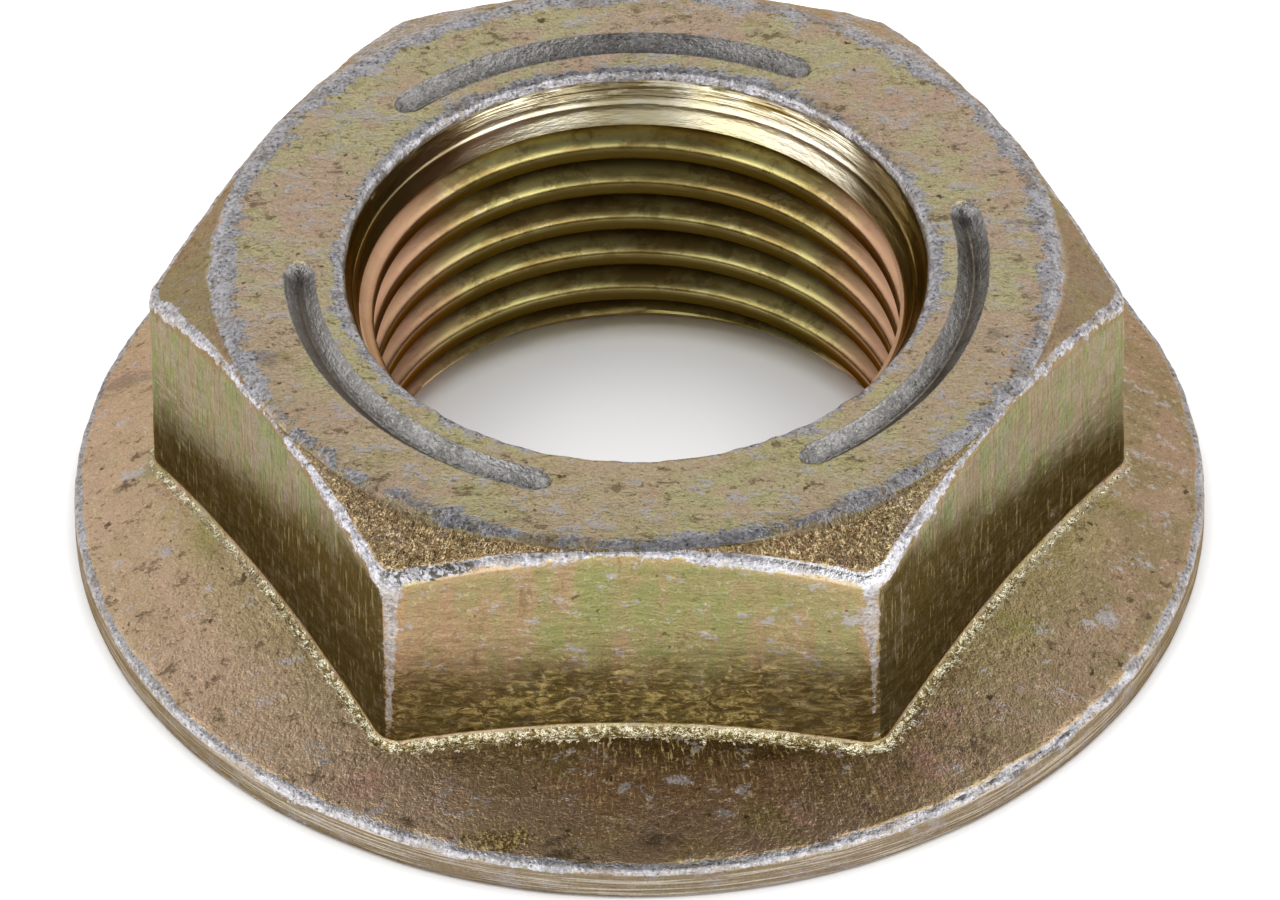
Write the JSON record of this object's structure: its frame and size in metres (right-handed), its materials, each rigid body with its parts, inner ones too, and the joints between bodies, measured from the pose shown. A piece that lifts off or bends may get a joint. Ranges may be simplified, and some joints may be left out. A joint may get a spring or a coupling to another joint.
{
  "type": "serrated flange nut",
  "caption": "Thin hexagonal nut on a round conical flange, with a fine right-hand thread, crimped locking grooves in its top and ratchet serrations in its bearing face.",
  "frame": {"origin": "where the bore axis meets the plane of the bearing face", "axes": "+Z along the bore axis from the bearing face to the crimped top, +Y normal to one wrench flat, +X towards a corner of the hexagon"},
  "size_m": [0.0381, 0.038, 0.0113],
  "materials": {
    "plated_steel": "yellow chromate zinc plating, satin, worn to bare grey on the edges"
  },
  "bodies": {
    "root": {"flange_nut": "plated_steel"}
  },
  "joints": []
}
